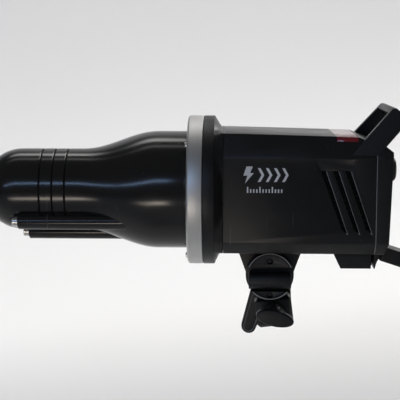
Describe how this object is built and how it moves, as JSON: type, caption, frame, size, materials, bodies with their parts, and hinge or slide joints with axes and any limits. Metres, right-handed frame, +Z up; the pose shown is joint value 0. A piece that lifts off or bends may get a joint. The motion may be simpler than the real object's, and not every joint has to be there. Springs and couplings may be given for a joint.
{
  "type": "monolight strobe",
  "caption": "Compact studio flash head with a long protective cap, carry handle and a tilting bracket that clamps on a light stand.",
  "frame": {"origin": "middle of the stand socket's mouth, where the light stand's stud goes in", "axes": "+Z up the stand, +X towards the head's rear, -Y the side of the umbrella holder and the clamp knob"},
  "size_m": [0.5138, 0.1505, 0.4051],
  "materials": {
    "black_moulding": "fine-textured satin black moulding",
    "cap_black": "satin-gloss black moulding",
    "bracket_black": "smooth black powder coat on cast aluminium",
    "satin_aluminium": "satin turned aluminium",
    "bright_steel": "bright plated steel",
    "black_steel": "blackened steel",
    "sensor_red": "translucent dark red acrylic",
    "cord_rubber": "satin black cord rubber",
    "circuit_board": "green circuit board",
    "capacitor_sleeve": "shrink sleeve",
    "clear_glass": "clear glass",
    "white_ceramic": "unglazed white ceramic",
    "display_glass": "dark display window",
    "key_grey": "grey moulded keys",
    "winding_copper": "lacquered copper winding"
  },
  "bodies": {
    "stand": {"stand_bracket": "bracket_black", "tilt_bolt": "bright_steel", "lever_washer": "bright_steel"},
    "head": {"carry_handle": "black_moulding", "display_module": "circuit_board", "display_window": "display_glass", "encoder": "satin_aluminium", "fan_frame": "black_moulding", "flash_capacitor_1": "capacitor_sleeve", "flash_capacitor_2": "capacitor_sleeve", "flash_tube": "clear_glass", "friction_disc": "key_grey", "front_collar": "black_moulding", "glass_dome": "clear_glass", "hanger_bracket": "bracket_black", "holder_screw_1": "black_steel", "holder_screw_2": "black_steel", "lamp_base": "white_ceramic", "lamp_socket": "white_ceramic", "lead_coil": "cord_rubber", "lead_tie": "cord_rubber", "main_board": "circuit_board", "main_housing": "black_moulding", "mains_connector": "cord_rubber", "mains_inlet": "black_moulding", "mains_lead": "cord_rubber", "mains_plug": "cord_rubber", "modelling_lamp": "clear_glass", "mount_ring": "satin_aluminium", "power_board": "circuit_board", "rear_cover": "black_moulding", "rear_foot": "black_moulding", "ring_screw_1": "bright_steel", "ring_screw_2": "bright_steel", "ring_screw_3": "bright_steel", "sensor_board": "circuit_board", "sensor_window": "sensor_red", "sync_jack": "black_steel", "transformer": "winding_copper", "umbrella_holder": "bracket_black", "umbrella_tube": "bracket_black", "usb_port": "satin_aluminium"},
    "tilt_lever": {"tilt_lever": "bracket_black"},
    "clamp_knob": {"clamp_knob": "bracket_black"},
    "cap": {"protective_cap": "cap_black", "cap_seat_ring": "cap_black", "cap_screw_1": "bright_steel", "cap_screw_2": "bright_steel"},
    "dial": {"dial": "black_moulding"},
    "key_1": {"key_1": "key_grey"},
    "key_2": {"key_2": "key_grey"},
    "key_3": {"key_3": "key_grey"},
    "key_4": {"key_4": "key_grey"},
    "power_switch": {"power_switch": "key_grey"},
    "fuse_cap": {"fuse_cap": "black_moulding"},
    "lock_slider": {"lock_slider": "black_moulding"},
    "fan_rotor": {"fan_rotor": "black_moulding"}
  },
  "joints": [
    {"name": "head_tilt", "type": "hinge", "parent": "stand", "child": "head", "pos_m": [0, 0, 0.054], "axis": [0, 1, 0], "range_deg": [-65, 52]},
    {"name": "lever_swing", "type": "hinge", "parent": "stand", "child": "tilt_lever", "pos_m": [0, 0, 0.054], "axis": [0, 1, 0], "range_deg": [-60, 10]},
    {"name": "clamp_knob_turn", "type": "hinge", "parent": "stand", "child": "clamp_knob", "pos_m": [0, -0.04, 0.0145], "axis": [0, -1, 0], "continuous": true},
    {"name": "cap_pull", "type": "slide", "parent": "head", "child": "cap", "axis": [-0.9921, 0, 0.1253], "range_m": [0, 0.21]},
    {"name": "dial_turn", "type": "hinge", "parent": "head", "child": "dial", "pos_m": [0.12483, 0, 0.14003], "axis": [0.9921, 0, -0.1253], "continuous": true},
    {"name": "switch_rock", "type": "hinge", "parent": "head", "child": "power_switch", "pos_m": [0.11422, 0.036, 0.08644], "axis": [0, 1, 0], "range_deg": [-10, 0]},
    {"name": "fuse_cap_turn", "type": "hinge", "parent": "head", "child": "fuse_cap", "pos_m": [0.1162, 0.014, 0.08619], "axis": [0.9921, 0, -0.1253], "range_deg": [0, 90]},
    {"name": "lock_slide", "type": "slide", "parent": "head", "child": "lock_slider", "axis": [0.9921, 0, -0.1253], "range_m": [0, 0.0035], "stiffness_N_per_m": 400},
    {"name": "fan_spin", "type": "hinge", "parent": "head", "child": "fan_rotor", "pos_m": [0.07055, 0, 0.12572], "axis": [0.9921, 0, -0.1253], "continuous": true},
    {"name": "key_1_press", "type": "slide", "parent": "head", "child": "key_1", "axis": [-0.9921, 0, 0.1253], "range_m": [0, 0.0008], "stiffness_N_per_m": 500},
    {"name": "key_2_press", "type": "slide", "parent": "head", "child": "key_2", "axis": [-0.9921, 0, 0.1253], "range_m": [0, 0.0008], "stiffness_N_per_m": 500},
    {"name": "key_3_press", "type": "slide", "parent": "head", "child": "key_3", "axis": [-0.9921, 0, 0.1253], "range_m": [0, 0.0008], "stiffness_N_per_m": 500},
    {"name": "key_4_press", "type": "slide", "parent": "head", "child": "key_4", "axis": [-0.9921, 0, 0.1253], "range_m": [0, 0.0008], "stiffness_N_per_m": 500}
  ]
}
